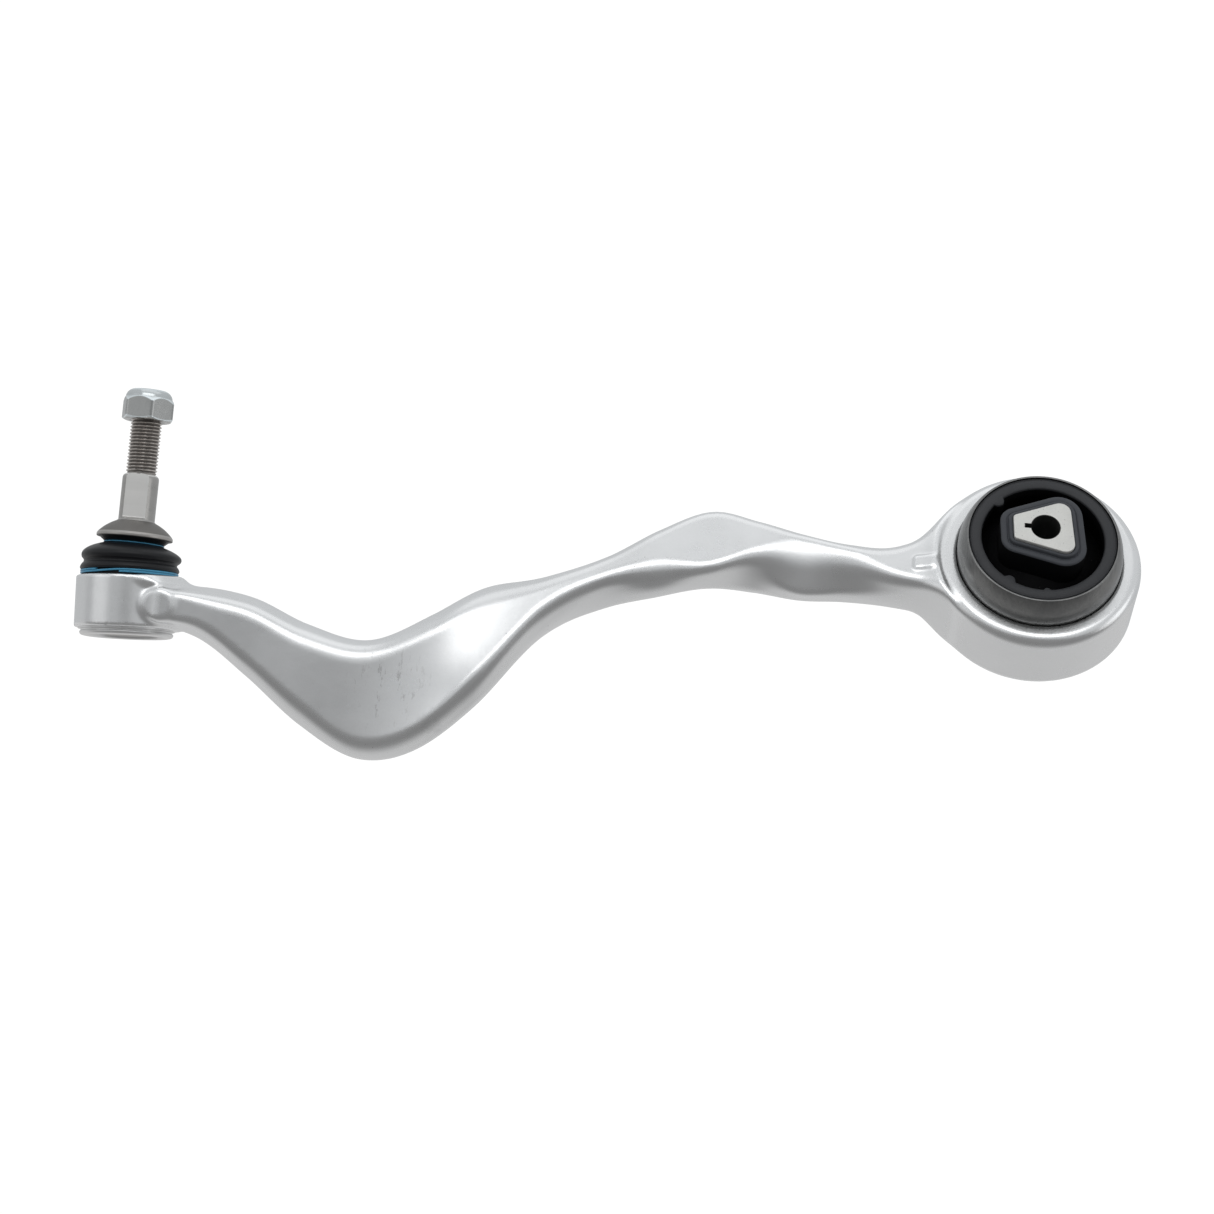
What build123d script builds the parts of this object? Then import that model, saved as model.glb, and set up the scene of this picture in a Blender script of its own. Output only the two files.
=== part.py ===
from build123d import *
import os
from math import cos, radians, sin, sqrt

# Front control arm: a forged aluminium arm with a ball joint at one end and a
# fluid-filled rubber bush pressed into an eye at the other.
# Millimetres. The origin is the centre of the bush's bolt hole. +Z runs along the
# ball stud at rest, the arm lies towards -X, and the bush's front end faces -Y and up.

# ---- driving dimensions ----
BUSH_RISE = 29.3            # angle of the bush's axis above the horizontal, degrees
BALL_X = -395.8             # ball centre from the bush's bolt hole
BALL_Z = -50.8
HOUSING_LEAN = 3.0          # housing leans away from the bush by this, degrees

EYE_RADIUS = 44.7
EYE_BORE = 35.7
EYE_BACK = -26.0            # heights along the bush's axis
EYE_FRONT = 6.7
EYE_FRONT_ROUND = 5.0
EYE_BACK_ROUND = 3.0

SLEEVE_RADIUS = 35.64
SLEEVE_WALL = 2.2
SLEEVE_BACK = -26.0
SLEEVE_SHOULDER = 8.0       # the sleeve starts to close in here
SLEEVE_RIM_RADIUS = 32.75
SLEEVE_RIM = 21.0
RIM_WALL = 1.4

CORE_HALF_LENGTH = 29.0
BOLT_HOLE = 12.2
NOTCH_REACH = 8.9
NOTCH_WIDTH = 2.3
SKIN_STEP = 1.9             # first step of rubber around the core
SKIN_FULL = 5.3             # full thickness of rubber around the core
RUBBER_INNER = 27.5         # the open gap ends here
BOND_GAP = 0.05

HOUSING_RADIUS = 23.0
HOUSING_TOP = 10.4          # heights from the ball centre
HOUSING_BOTTOM = -12.3
LIP_RADIUS = 20.8
LIP_BOTTOM = -15.9
BOOT_SEAT = 10.5            # underside of the boot's bead
BALL_DIAMETER = 27.0
BALL_FIT = 0.07
SEAT_RADIUS = 16.2
NECK_RADIUS = 6.5
SEAL_RADIUS = 11.0          # the boot's upper lip seals on this part of the stud
FLANGE_RADIUS = 16.7
FLANGE_BOTTOM = 27.7
FLANGE_RIM = 1.3
SHANK_DIAMETER = 16.0
DOME_TOP = 35.3
SHANK_FOOT_RADIUS = 8.6     # the shank widens to this where it meets the flange's dome
SHANK_BOTTOM = 36.2
SHANK_TOP = 54.2
SHOULDER_TOP = 56.4
FLAT_DEPTH = 1.8            # flat milled along the whole shank
THREAD_DIAMETER = 14.0
THREAD_PITCH = 1.5
THREAD_DEPTH = 0.9
THREAD_BOTTOM = 57.0
STUD_TOP = 93.0
NUT_ACROSS_FLATS = 21.0
NUT_BOTTOM = 80.3
NUT_HEX_TOP = 89.6
NUT_TOP = 94.0
NUT_TURN = 50.0             # where the nut's corners stand around the stud
NUT_FIT = 0.05

PAD_RADIUS = 6.7            # round end of the arm's face on the housing
PAD_REACH = 21.4
PAD_X = -378.5
PAD_Z = -52.0

# ---- frames ----
rise = radians(BUSH_RISE)
lean = radians(HOUSING_LEAN)
bush = Plane(origin=(0, 0, 0), x_dir=(1, 0, 0), z_dir=(0, -cos(rise), sin(rise)))
ball_centre = (BALL_X, 0, BALL_Z)
stud_frame = Plane(origin=ball_centre)
# the stud is turned from the side of its milled flat, so that the shank's round face is one arc
flat_frame = Plane(origin=ball_centre, x_dir=(0, -1, 0), z_dir=(0, 0, 1))


def leaning_frame(angle):
    """Frame at the ball centre whose Z leans away from the bush by an angle in radians."""
    return Plane(origin=ball_centre, x_dir=(cos(angle), 0, sin(angle)), z_dir=(-sin(angle), 0, cos(angle)))


housing_frame = leaning_frame(lean)
boot_frame = leaning_frame(lean / 2)

os.makedirs("parts", exist_ok=True)


def half_plane(frame):
    """The plane of radius and height in which a frame's turned outlines are drawn."""
    return Plane(origin=frame.origin, x_dir=frame.x_dir, z_dir=-frame.y_dir)


def turned(frame, points, mode=Mode.ADD):
    """Turn a closed outline of (radius, height) points about the frame's Z axis."""
    with BuildSketch(half_plane(frame)) as outline:
        with BuildLine():
            Polyline(*points, close=True)
        make_face()
    revolve(outline.sketch, axis=Axis(frame.origin, frame.z_dir), mode=mode)


def ring(frame, inner, outer, low, high, mode=Mode.ADD):
    """A plain ring between two radii and two heights."""
    turned(frame, [(inner, low), (outer, low), (outer, high), (inner, high)], mode)


def rod(frame, radius, low, high, mode=Mode.ADD):
    """A plain cylinder between two heights."""
    ring(frame, 0, radius, low, high, mode)


def save(part, name):
    part.label = name
    export_step(part, f"parts/{name}.step")


# ---- arm: forged bar, ball housing and bush eye in one ----
# Each section of the bar has six corners. Its frame turns about X by the tilt; the first
# number of a pair is the corner nearer the top. Columns:
# x, tilt, front face, back face, front corners, parting-line corners, back corners
SECTIONS = [
    (-379, 0, 20.5, -20.5, (-46.0, -58.5), (-43.0, -60.5), (-46.0, -58.5)),
    (-362, 0, 18.0, -18.0, (-46.3, -60.0), (-41.5, -65.5), (-46.3, -60.0)),
    (-340, 0, 15.0, -15.0, (-50.5, -74.0), (-43.5, -80.0), (-50.5, -74.0)),
    (-315, 0, 13.5, -13.5, (-61.0, -92.0), (-53.5, -98.0), (-61.0, -92.0)),
    (-286, 0, 13.0, -13.0, (-65.5, -108.0), (-57.5, -112.3), (-65.5, -107.0)),
    (-260, 5, 6.0, -19.4, (-52.5, -100.0), (-44.3, -105.0), (-51.0, -98.0)),
    (-238, 15, -2.6, -26.8, (-37.2, -77.0), (-28.2, -85.0), (-33.0, -76.0)),
    (-212, 24, -4.0, -29.0, (-24.2, -42.5), (-19.5, -47.5), (-24.0, -41.5)),
    (-186, 29.3, -3.0, -25.0, (-10.8, -25.5), (-8.0, -28.5), (-10.0, -27.7)),
    (-165, 29.3, 1.5, -18.0, (2.4, -20.3), (4.0, -26.5), (1.0, -24.3)),
    (-142, 29.3, 4.5, -14.0, (13.4, -20.3), (12.5, -21.5), (10.5, -19.8)),
    (-122, 29.3, 4.0, -17.0, (10.4, -10.5), (9.8, -16.2), (7.0, -18.6)),
    (-102, 29.3, 3.0, -20.0, (6.2, -5.0), (6.0, -20.8), (3.0, -17.5)),
    (-82, 29.3, 3.0, -22.0, (2.6, -7.0), (4.0, -18.4), (1.0, -15.0)),
    (-62, 29.3, 3.5, -23.0, (3.0, -15.3), (5.0, -18.6), (1.5, -14.8)),
    (-48, 29.3, 4.5, -24.0, (9.8, -19.5), (11.0, -20.8), (7.5, -18.5)),
    (-38, 29.3, 5.0, -24.5, (24.0, -25.0), (25.0, -26.0), (23.0, -25.0)),
]
SECTION_ROUND = 2.6


def section_frame(x, tilt):
    """Frame of a bar section: local X points at its front face and local Y up its height."""
    turn = radians(tilt)
    return Plane(origin=(x, 0, 0), x_dir=(0, -cos(turn), sin(turn)), z_dir=(-1, 0, 0))


with BuildPart() as arm_forging:
    for x, tilt, front, back, front_corners, parting_corners, back_corners in SECTIONS:
        middle = (front + back) / 2
        with BuildSketch(section_frame(x, tilt)):
            with BuildLine():
                Polyline(
                    (middle, parting_corners[0]),
                    (front, front_corners[0]),
                    (front, front_corners[1]),
                    (middle, parting_corners[1]),
                    (back, back_corners[1]),
                    (back, back_corners[0]),
                    close=True,
                )
            make_face()
            fillet(vertices(), SECTION_ROUND)
    loft()
    # the bar's faces end in a round pad on each side of the housing
    with BuildSketch(Plane(origin=(PAD_X, -PAD_REACH, PAD_Z), x_dir=(1, 0, 0), z_dir=(0, 1, 0))):
        Circle(PAD_RADIUS)
    extrude(amount=2 * PAD_REACH)
    # ball housing, with a thinner lip that is rolled over the closing plate
    turned(housing_frame, [
        (0, LIP_BOTTOM), (LIP_RADIUS - 1, LIP_BOTTOM), (LIP_RADIUS, LIP_BOTTOM + 1),
        (LIP_RADIUS, HOUSING_BOTTOM), (HOUSING_RADIUS - 0.6, HOUSING_BOTTOM),
        (HOUSING_RADIUS, HOUSING_BOTTOM + 0.8), (HOUSING_RADIUS, HOUSING_TOP - 0.8),
        (HOUSING_RADIUS - 0.8, HOUSING_TOP), (0, HOUSING_TOP),
    ])
    # bush eye with a full front edge
    with BuildSketch(half_plane(bush)) as eye_outline:
        with BuildLine():
            Polyline(
                (0, EYE_BACK), (EYE_RADIUS, EYE_BACK), (EYE_RADIUS, EYE_FRONT), (0, EYE_FRONT), close=True
            )
        make_face()
        fillet(eye_outline.vertices().sort_by_distance((EYE_RADIUS, EYE_FRONT))[0], EYE_FRONT_ROUND)
        fillet(eye_outline.vertices().sort_by_distance((EYE_RADIUS, EYE_BACK))[0], EYE_BACK_ROUND)
    revolve(axis=Axis(bush.origin, bush.z_dir))
    rod(bush, EYE_BORE, EYE_BACK - 5, EYE_FRONT + 5, Mode.SUBTRACT)
    # inside of the housing: plate recess, seat bore and the opening for the stud
    turned(housing_frame, [
        (0, LIP_BOTTOM - 2), (16.8, LIP_BOTTOM - 2), (16.8, -14.0), (18.0, -14.0), (18.0, -12.6),
        (SEAT_RADIUS + 0.05, -12.6), (SEAT_RADIUS + 0.05, 1.0), (15.5, 4.8), (13.7, 8.6),
        (13.7, HOUSING_TOP + 2), (0, HOUSING_TOP + 2),
    ], Mode.SUBTRACT)
save(arm_forging.part, "arm_forging")

# ---- ball joint ----
ball_radius = BALL_DIAMETER / 2
seat_bore = ball_radius + BALL_FIT

with BuildPart() as ball_seat:
    turned(housing_frame, [
        (5.0, -12.55), (SEAT_RADIUS, -12.55), (SEAT_RADIUS, 0.9), (15.4, 4.7), (13.5, 8.2),
        (11.4, 7.3), (5.0, 7.3),
    ])
    with BuildSketch(half_plane(housing_frame)):
        Circle(seat_bore)
        with Locations((-seat_bore, 0)):
            Rectangle(2 * seat_bore, 4 * seat_bore, mode=Mode.SUBTRACT)
    revolve(axis=Axis(housing_frame.origin, housing_frame.z_dir), mode=Mode.SUBTRACT)
    # four grease slots across the seat
    with BuildSketch(housing_frame.offset(-12.55)):
        with PolarLocations(SEAT_RADIUS - 1, 4):
            Rectangle(3, 1.6)
    extrude(amount=10, mode=Mode.SUBTRACT)
save(ball_seat.part, "ball_seat")

with BuildPart() as closing_plate:
    # dished down in the middle, so that the ball stays clear of it when it tilts
    turned(housing_frame, [
        (0, -15.0), (9.2, -15.0), (11.4, -14.0), (17.2, -14.0), (17.9, -13.4), (17.9, -12.65),
        (12.2, -12.65), (9.8, -13.75), (0, -13.75),
    ])
save(closing_plate.part, "closing_plate")

with BuildPart() as ball_stud:
    shank_radius = SHANK_DIAMETER / 2
    thread_radius = THREAD_DIAMETER / 2
    thread_root = thread_radius - THREAD_DEPTH
    ball_flat = -11.4
    neck_start = sqrt(ball_radius ** 2 - NECK_RADIUS ** 2)
    with BuildSketch(half_plane(flat_frame)):
        with BuildLine():
            start = (sqrt(ball_radius ** 2 - ball_flat ** 2), ball_flat)
            Polyline((0, STUD_TOP), (0, ball_flat), start)
            ThreePointArc(start, (ball_radius, 0), (NECK_RADIUS, neck_start))
            Line((NECK_RADIUS, neck_start), (NECK_RADIUS, 14.5))
            ThreePointArc((NECK_RADIUS, 14.5), (7.6, 18.6), (SEAL_RADIUS, 22.5))
            rim_top = FLANGE_BOTTOM + FLANGE_RIM
            Polyline(
                (SEAL_RADIUS, 22.5), (SEAL_RADIUS, FLANGE_BOTTOM), (FLANGE_RADIUS - 0.3, FLANGE_BOTTOM),
                (FLANGE_RADIUS, FLANGE_BOTTOM + 0.3), (FLANGE_RADIUS, rim_top),
            )
            ThreePointArc((FLANGE_RADIUS, rim_top), (13.0, 32.6), (SHANK_FOOT_RADIUS, DOME_TOP))
            ThreePointArc((SHANK_FOOT_RADIUS, DOME_TOP), (8.2, 35.6), (shank_radius, SHANK_BOTTOM))
            Line((shank_radius, SHANK_BOTTOM), (shank_radius, SHANK_TOP))
            ThreePointArc((shank_radius, SHANK_TOP), (7.5, 55.8), (thread_root, SHOULDER_TOP))
            teeth = int((STUD_TOP - 1.5 - THREAD_BOTTOM) / THREAD_PITCH)
            crests = [(thread_root, SHOULDER_TOP)]
            for tooth in range(teeth):
                low = THREAD_BOTTOM + tooth * THREAD_PITCH
                crests.append((thread_root, low))
                crests.append((thread_radius, low + 0.6))
                crests.append((thread_radius, low + 0.9))
            crests.append((thread_root, THREAD_BOTTOM + teeth * THREAD_PITCH))
            crests.append((thread_root - 0.4, STUD_TOP))
            Polyline(*crests, (0, STUD_TOP))
        make_face()
    revolve(axis=Axis(stud_frame.origin, stud_frame.z_dir))
    # flat milled on the shank, open at its top
    flat_height = SHOULDER_TOP - SHANK_BOTTOM
    flat_middle = BALL_Z + (SHANK_BOTTOM + SHOULDER_TOP) / 2
    mill_frame = Plane(origin=(BALL_X, -shank_radius - 1, flat_middle), x_dir=(1, 0, 0), z_dir=(0, 1, 0))
    with BuildSketch(mill_frame):
        Rectangle(20, flat_height)
    extrude(amount=FLAT_DEPTH + 1, mode=Mode.SUBTRACT)
    # centre drilling in the end of the stud
    with BuildSketch(half_plane(flat_frame)):
        with BuildLine():
            Polyline((0, STUD_TOP - 3), (2.2, STUD_TOP), (2.2, STUD_TOP + 1), (0, STUD_TOP + 1), close=True)
        make_face()
    revolve(axis=Axis(stud_frame.origin, stud_frame.z_dir), mode=Mode.SUBTRACT)
save(ball_stud.part, "ball_stud")

with BuildPart() as dust_boot:
    # the folds stand halfway between the stud's frame and the housing's
    with BuildSketch(half_plane(boot_frame)):
        with BuildLine():
            Polyline((20.1, 13.1), (20.1, 11.6), (17.8, 11.6), (17.8, 13.4))
            Spline((17.8, 13.4), (19.5, 14.8), (18.2, 16.9), (19.4, 19.4), (15.5, 21.9), (11.0, 24.0))
            Polyline((11.0, 24.0), (11.0, 27.4), (15.2, 27.4), (13.4, 25.9), (13.4, 24.7))
            Spline(
                (13.4, 24.7), (17.2, 23.5), (21.2, 21.3), (21.8, 19.3), (20.4, 16.9), (21.6, 14.8),
                (20.1, 13.1),
            )
        make_face()
    revolve(axis=Axis(boot_frame.origin, boot_frame.z_dir))
    ring(housing_frame, 17.8, 20.1, BOOT_SEAT, 12.6)
    # room for the stud, the flange, the housing and the two clamping rings
    rod(stud_frame, SEAL_RADIUS + BOND_GAP, 20.0, 30.0, Mode.SUBTRACT)
    rod(stud_frame, FLANGE_RADIUS, FLANGE_BOTTOM - 0.2, 32.0, Mode.SUBTRACT)
    rod(housing_frame, HOUSING_RADIUS, 0.0, BOOT_SEAT, Mode.SUBTRACT)
    ring(stud_frame, 12.3, 16.0, 24.85, 25.95, Mode.SUBTRACT)
    ring(housing_frame, 20.8, 23.0, 11.1, 13.1, Mode.SUBTRACT)
save(dust_boot.part, "dust_boot")

with BuildPart() as boot_upper_ring:
    turned(stud_frame, [(12.4, 24.95), (13.1, 24.95), (13.3, 25.4), (13.1, 25.85), (12.4, 25.85)])
save(boot_upper_ring.part, "boot_upper_ring")

with BuildPart() as boot_lower_ring:
    turned(housing_frame, [
        (20.9, 11.3), (21.4, 11.3), (21.5, 11.7), (21.2, 12.1), (21.5, 12.5), (21.4, 12.9), (20.9, 12.9),
    ])
save(boot_lower_ring.part, "boot_lower_ring")

# ---- nut with its locking ring ----
nut_bore = THREAD_DIAMETER / 2 + NUT_FIT

with BuildPart() as stud_nut:
    with BuildSketch(stud_frame.offset(NUT_BOTTOM)):
        RegularPolygon(NUT_ACROSS_FLATS / 2, 6, major_radius=False, rotation=NUT_TURN)
    extrude(amount=NUT_TOP - NUT_BOTTOM)
    turned(stud_frame, [
        (0, NUT_BOTTOM), (10.0, NUT_BOTTOM), (12.3, NUT_BOTTOM + 1.2), (12.3, NUT_HEX_TOP - 1.2),
        (10.4, NUT_HEX_TOP + 0.8), (10.1, 92.2), (9.2, 93.6), (7.8, NUT_TOP), (0, NUT_TOP),
    ], Mode.INTERSECT)
    rod(stud_frame, nut_bore, NUT_BOTTOM - 1, NUT_TOP + 1, Mode.SUBTRACT)
    ring(stud_frame, nut_bore - 1, 8.8, 90.4, 93.0, Mode.SUBTRACT)
save(stud_nut.part, "stud_nut")

with BuildPart() as nut_lock_ring:
    ring(stud_frame, nut_bore, 8.75, 90.45, 92.95)
save(nut_lock_ring.part, "nut_lock_ring")


# ---- bush ----
def core_outline(growth):
    """The core's rounded four-sided outline, grown by the given amount."""
    with BuildSketch() as outline:
        with BuildLine():
            Polyline((-13.9, 5.0), (9.9, 15.4), (13.3, -13.2), (-13.1, -6.7), close=True)
        make_face()
        fillet(outline.vertices().sort_by_distance((13.3, -13.2))[0], 4.2)
        fillet(outline.vertices().sort_by_distance((9.9, 15.4))[0], 4.8)
        fillet(outline.vertices().sort_by_distance((-13.9, 5.0))[0], 1.8)
        fillet(outline.vertices().sort_by_distance((-13.1, -6.7))[0], 1.8)
        if growth:
            offset(amount=growth)
    return outline.sketch


def core_prism(growth, low, high, mode=Mode.ADD):
    """A prism of the core's grown outline between two heights along the bush."""
    extrude(bush.offset(low) * core_outline(growth), amount=high - low, dir=bush.z_dir, mode=mode)


with BuildPart() as bush_core:
    core_prism(0, -CORE_HALF_LENGTH, CORE_HALF_LENGTH)
    rod(bush, BOLT_HOLE / 2, -CORE_HALF_LENGTH - 1, CORE_HALF_LENGTH + 1, Mode.SUBTRACT)
    with BuildSketch(bush.offset(-CORE_HALF_LENGTH - 1)):
        with Locations((-NOTCH_REACH / 2, 0)):
            Rectangle(NOTCH_REACH, NOTCH_WIDTH)
    extrude(amount=2 * CORE_HALF_LENGTH + 2, mode=Mode.SUBTRACT)
save(bush_core.part, "bush_core")

with BuildPart() as bush_sleeve:
    sleeve_inner = SLEEVE_RADIUS - SLEEVE_WALL
    with BuildSketch(half_plane(bush)):
        with BuildLine():
            Polyline(
                (SLEEVE_RIM_RADIUS - RIM_WALL, SLEEVE_BACK), (SLEEVE_RADIUS - 1, SLEEVE_BACK),
                (SLEEVE_RADIUS, SLEEVE_BACK + 1), (SLEEVE_RADIUS, SLEEVE_SHOULDER),
            )
            ThreePointArc((SLEEVE_RADIUS, SLEEVE_SHOULDER), (34.9, 15.2), (SLEEVE_RIM_RADIUS, SLEEVE_RIM))
            Line((SLEEVE_RIM_RADIUS, SLEEVE_RIM), (SLEEVE_RIM_RADIUS - RIM_WALL, SLEEVE_RIM))
            ThreePointArc(
                (SLEEVE_RIM_RADIUS - RIM_WALL, SLEEVE_RIM), (33.0, 15.6), (sleeve_inner, SLEEVE_SHOULDER),
            )
            Polyline(
                (sleeve_inner, SLEEVE_SHOULDER), (sleeve_inner, SLEEVE_BACK + 1.6),
                (SLEEVE_RIM_RADIUS - RIM_WALL, SLEEVE_BACK + 1.6),
                (SLEEVE_RIM_RADIUS - RIM_WALL, SLEEVE_BACK),
            )
        make_face()
    revolve(axis=Axis(bush.origin, bush.z_dir))
save(bush_sleeve.part, "bush_sleeve")

with BuildPart() as bush_rubber:
    ring(bush, RUBBER_INNER, 29.9, -22.0, 14.0)
    ring(bush, RUBBER_INNER, 31.2, 13.2, 20.3)
    ring(bush, RUBBER_INNER, 31.2, -24.2, -19.0)
    # two walls close the fluid chambers between core and outer ring
    turned(bush, [(10, 8.0), (28, 4.0), (28, 9.0), (10, 14.0)])
    turned(bush, [(10, -19.0), (28, -14.0), (28, -9.0), (10, -13.0)])
    core_prism(SKIN_FULL, -24.0, 26.6)
    core_prism(SKIN_STEP, -26.5, 28.0)
    # small half-round stops on the front ring's inner edge
    with BuildSketch(bush.offset(14.0)):
        with PolarLocations(RUBBER_INNER + 0.6, 5, start_angle=138, angular_range=360):
            Circle(2.8)
    extrude(amount=5.6)
    core_prism(BOND_GAP, -CORE_HALF_LENGTH, CORE_HALF_LENGTH, Mode.SUBTRACT)
save(bush_rubber.part, "bush_rubber")

with BuildPart() as rubber_cage:
    ring(bush, 29.95, 31.2, -18.9, 13.1)
    # a window over each fluid chamber
    with BuildSketch(bush.offset(-2.0)):
        Rectangle(80, 26)
    extrude(amount=5.0, both=True, mode=Mode.SUBTRACT)
save(rubber_cage.part, "rubber_cage")

for side, name in ((1, "fluid_channel_upper"), (-1, "fluid_channel_lower")):
    with BuildPart() as fluid_channel:
        ring(bush, 31.3, 33.35, -18.5, 7.5)
        ring(bush, 32.3, 34.0, -14.5, -10.5, Mode.SUBTRACT)
        ring(bush, 32.3, 34.0, -1.0, 3.0, Mode.SUBTRACT)
        with BuildSketch(bush.offset(-20)):
            with Locations((0, -side * 20)):
                Rectangle(80, 40.3)
        extrude(amount=40, mode=Mode.SUBTRACT)
    save(fluid_channel.part, name)

with BuildPart() as travel_stop:
    rod(bush, 24.0, -7.5, 2.0)
    core_prism(SKIN_FULL + BOND_GAP, -9.0, 4.0, Mode.SUBTRACT)
save(travel_stop.part, "travel_stop")
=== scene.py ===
import math

import bmesh
import bpy
import numpy as np
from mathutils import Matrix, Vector


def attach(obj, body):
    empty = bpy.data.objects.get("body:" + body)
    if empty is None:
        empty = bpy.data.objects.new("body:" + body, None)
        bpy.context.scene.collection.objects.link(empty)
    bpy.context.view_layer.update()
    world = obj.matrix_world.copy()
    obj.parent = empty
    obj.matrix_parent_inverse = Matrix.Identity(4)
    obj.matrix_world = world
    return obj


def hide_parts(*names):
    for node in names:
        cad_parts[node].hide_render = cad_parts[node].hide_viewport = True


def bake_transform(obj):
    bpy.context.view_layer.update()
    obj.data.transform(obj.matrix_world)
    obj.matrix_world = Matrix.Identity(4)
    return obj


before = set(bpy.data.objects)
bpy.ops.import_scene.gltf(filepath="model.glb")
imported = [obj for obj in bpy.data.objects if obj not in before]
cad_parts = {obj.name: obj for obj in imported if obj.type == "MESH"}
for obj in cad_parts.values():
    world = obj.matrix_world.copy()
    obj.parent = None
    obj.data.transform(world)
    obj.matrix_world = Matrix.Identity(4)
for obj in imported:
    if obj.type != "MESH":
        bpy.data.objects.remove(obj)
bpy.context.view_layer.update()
scene = bpy.context.scene

# Shapes are worked out in millimetres and written to the meshes in metres.
MM = 0.001
RISE = math.radians(29.3)  # of the bush's axis above -Y
LEAN = math.radians(3.0)  # of the ball housing from the stud's axis
BALL = np.array([-395.8, 0.0, -50.8])  # the ball's centre


# ---- frames
class Frame:
    """A local frame: origin and three unit axes, in the row frame."""

    def __init__(self, origin, x, y, z):
        self.origin = np.array(origin, float)
        self.axes = np.array([x, y, z], float)

    def out(self, points):
        """Local points to the row frame."""
        return self.origin + np.asarray(points, float) @ self.axes

    def into(self, points):
        """Row frame points to local ones."""
        return (np.asarray(points, float) - self.origin) @ self.axes.T


def leaning(angle):
    """The ball's frame, turned about Y."""
    c, s = math.cos(angle), math.sin(angle)
    return Frame(BALL, (c, 0, s), (0, 1, 0), (-s, 0, c))


bush = Frame((0, 0, 0), (1, 0, 0), (0, math.sin(RISE), math.cos(RISE)), (0, -math.cos(RISE), math.sin(RISE)))
stud_frame = leaning(0)
housing_frame = leaning(LEAN)


# ---- mesh helpers
def add_object(name, data):
    obj = bpy.data.objects.new(name, data)
    scene.collection.objects.link(obj)
    return obj


def new_object(name, vertices, faces, materials, node, slot, body=None, crease=40, weld=True):
    """A smooth shaded piece from points in millimetres, attached to its body if it has one."""
    mesh = bpy.data.meshes.new(name)
    mesh.from_pydata((vertices * MM).tolist(), [], faces.tolist())
    if weld:
        work = bmesh.new()
        work.from_mesh(mesh)
        bmesh.ops.remove_doubles(work, verts=work.verts, dist=2e-6)
        bmesh.ops.dissolve_degenerate(work, edges=work.edges, dist=1e-6)
        bmesh.ops.recalc_face_normals(work, faces=work.faces)
        work.to_mesh(mesh)
        work.free()
    mesh.polygons.foreach_set("use_smooth", np.ones(len(mesh.polygons), bool))
    mesh.set_sharp_from_angle(angle=math.radians(crease))
    for material in materials if isinstance(materials, list) else [materials]:
        mesh.materials.append(material)
    obj = add_object(name, mesh)
    if body:
        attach(obj, body)
    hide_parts(node)
    return obj


def places(items, key, where):
    """Positions of a mesh's faces ("center") or points ("co") in a local frame, in millimetres."""
    flat = np.empty(len(items) * 3)
    items.foreach_get(key, flat)
    return where.into(flat.reshape(-1, 3) / MM)


def set_materials(obj, index):
    """Which of the piece's materials each face has."""
    obj.data.polygons.foreach_set("material_index", index.astype(np.int32))


def set_edge(obj, values):
    """The edge attribute, 0 to 1, that the materials read."""
    layer = obj.data.attributes.new("edge", "FLOAT", "POINT")
    layer.data.foreach_set("value", np.clip(values, 0, 1).astype(np.float32))


def grid_faces(rows, columns, closed=False):
    """Quads of a grid of points whose rows are rings; closed joins the last ring to the first."""
    r, c = np.meshgrid(np.arange(rows if closed else rows - 1), np.arange(columns), indexing="ij")
    r2, c2 = (r + 1) % rows, (c + 1) % columns
    quads = np.stack([r * columns + c, r * columns + c2, r2 * columns + c2, r2 * columns + c], -1)
    return quads.reshape(-1, 4)


def arc3(a, b, c, count):
    """Points of the circle arc from a through b to c."""
    (ax, ay), (bx, by), (cx, cy) = a, b, c
    d = 2 * (ax * (by - cy) + bx * (cy - ay) + cx * (ay - by))
    ux = ((ax**2 + ay**2) * (by - cy) + (bx**2 + by**2) * (cy - ay) + (cx**2 + cy**2) * (ay - by)) / d
    uy = ((ax**2 + ay**2) * (cx - bx) + (bx**2 + by**2) * (ax - cx) + (cx**2 + cy**2) * (bx - ax)) / d
    start, middle, end = (math.atan2(y - uy, x - ux) for x, y in (a, b, c))
    sweep = (end - start) % math.tau
    if (middle - start) % math.tau > sweep:
        sweep -= math.tau
    radius = math.hypot(ax - ux, ay - uy)
    turn = start + sweep * np.linspace(0, 1, count)
    return [(ux + radius * math.cos(t), uy + radius * math.sin(t)) for t in turn]


def rounded(points, closed=True, steps=5):
    """A polygon of (x, y, corner radius) as a dense outline with its corners rounded."""
    out = []
    n = len(points)
    for i, (x, y, radius) in enumerate(points):
        if radius <= 0 or (not closed and i in (0, n - 1)):
            out.append((x, y))
            continue
        here = np.array([x, y])
        back = np.array(points[i - 1][:2]) - here
        ahead = np.array(points[(i + 1) % n][:2]) - here
        lb, la = np.linalg.norm(back), np.linalg.norm(ahead)
        back, ahead = back / lb, ahead / la
        half = math.acos(max(-1, min(1, back @ ahead))) / 2
        reach = min(radius / math.tan(half), 0.49 * lb, 0.49 * la)
        radius = reach * math.tan(half)
        centre = here + (back + ahead) / np.linalg.norm(back + ahead) * radius / math.sin(half)
        middle = here - (here - centre) * (1 - radius / np.linalg.norm(here - centre))
        out += arc3(tuple(here + back * reach), tuple(middle), tuple(here + ahead * reach), steps)
    return out


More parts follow.
